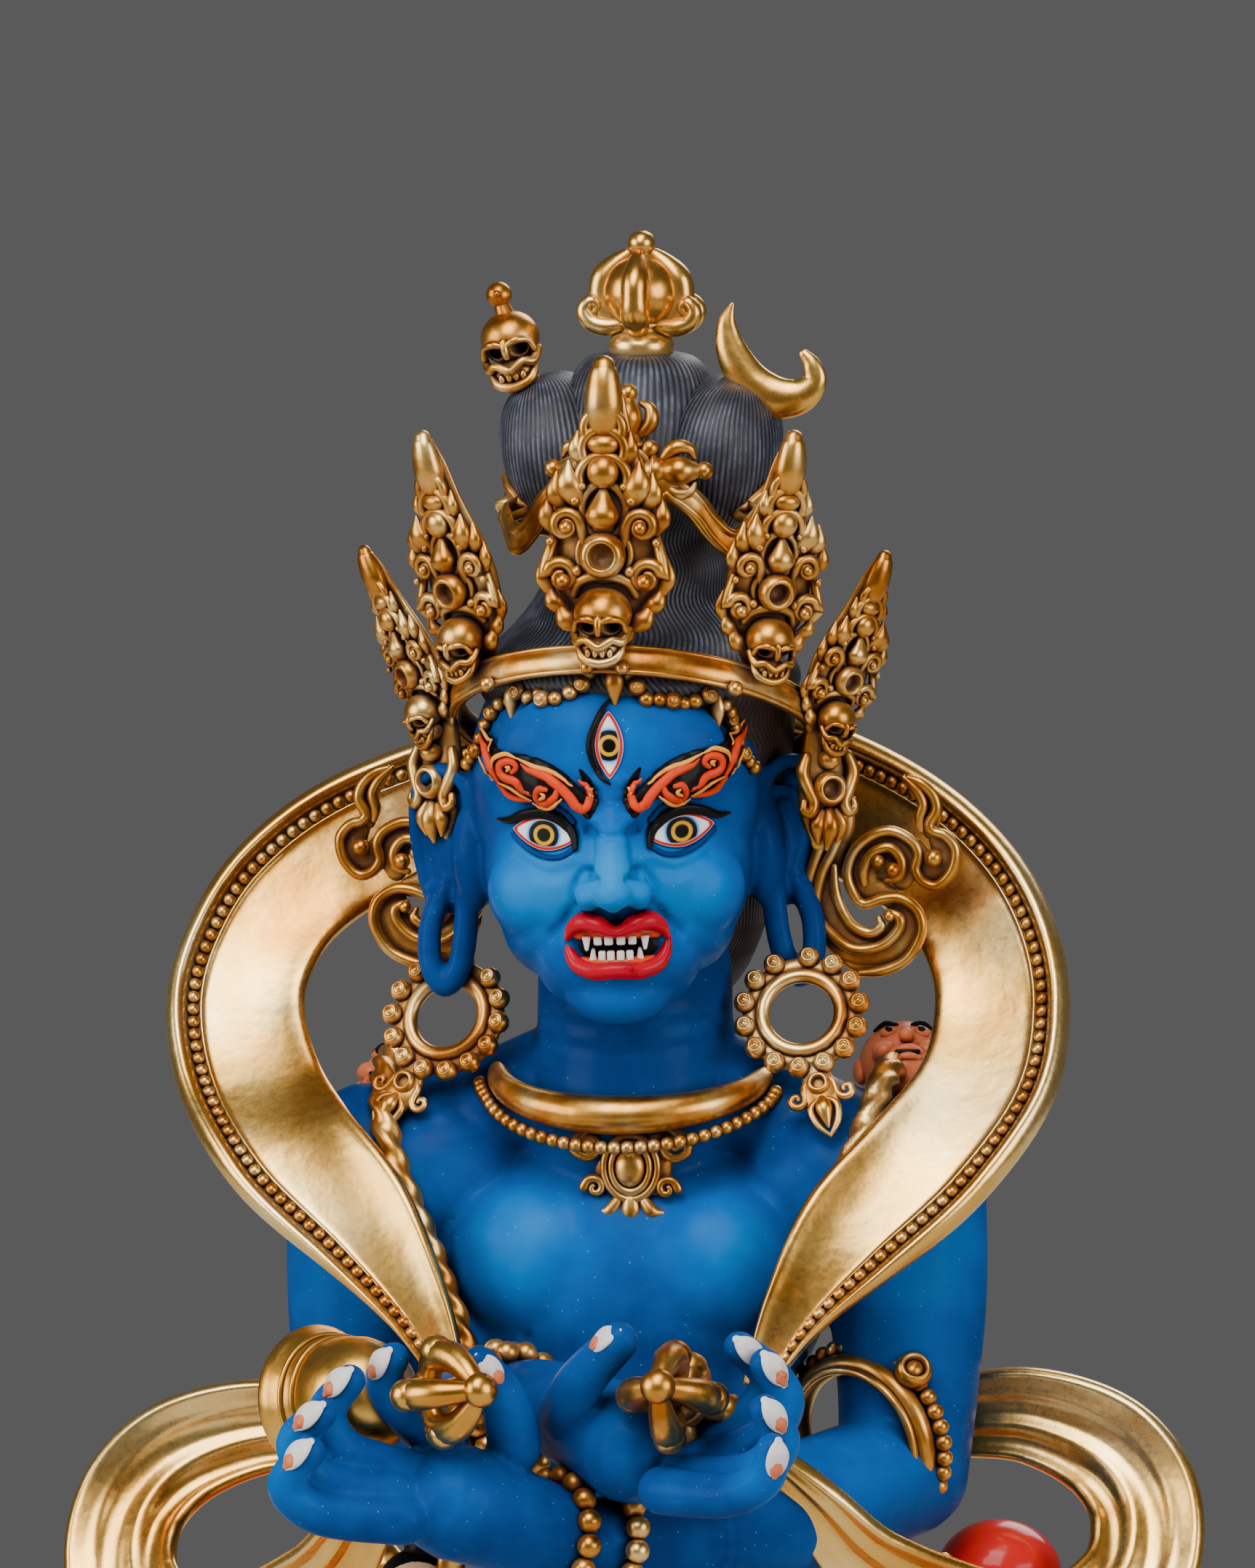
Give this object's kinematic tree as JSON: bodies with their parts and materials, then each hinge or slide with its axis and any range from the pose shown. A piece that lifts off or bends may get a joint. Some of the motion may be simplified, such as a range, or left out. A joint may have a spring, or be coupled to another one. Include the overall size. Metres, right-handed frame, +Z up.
{
  "type": "deity statue",
  "caption": "Gilded and painted metal statue of a standing wrathful deity, arms crossed at the wrists holding a vajra and a bell, on a low lotus base.",
  "frame": {"origin": "middle of the lotus base's flat underside", "axes": "+Z up; the figure faces -Y; +X is to the right for someone facing it"},
  "size_m": [0.1744, 0.1183, 0.322],
  "materials": {
    "gilding": "fire gilt copper, polished on the high places, red-brown in the hollows",
    "blue_lacquer": "satin blue mineral paint with small specks",
    "hair_paint": "matt slate blue-black paint over chased strands",
    "red_lacquer": "glossy red paint",
    "eye_paint": "glossy white paint with painted irises",
    "face_paint": "painted flesh tones on the garland's small heads"
  },
  "bodies": {
    "root": {"lotus_base": "gilding", "figure": "blue_lacquer", "crown": "gilding", "scarf_halo": "gilding", "scarf_loop_right": "gilding", "scarf_loop_left": "gilding", "earring_right": "gilding", "earring_left": "gilding", "topknot_finial": "gilding", "topknot_skull": "gilding", "topknot_crescent": "gilding", "topknot_ornament": "gilding", "vajra": "gilding", "bell": "gilding"}
  },
  "joints": []
}
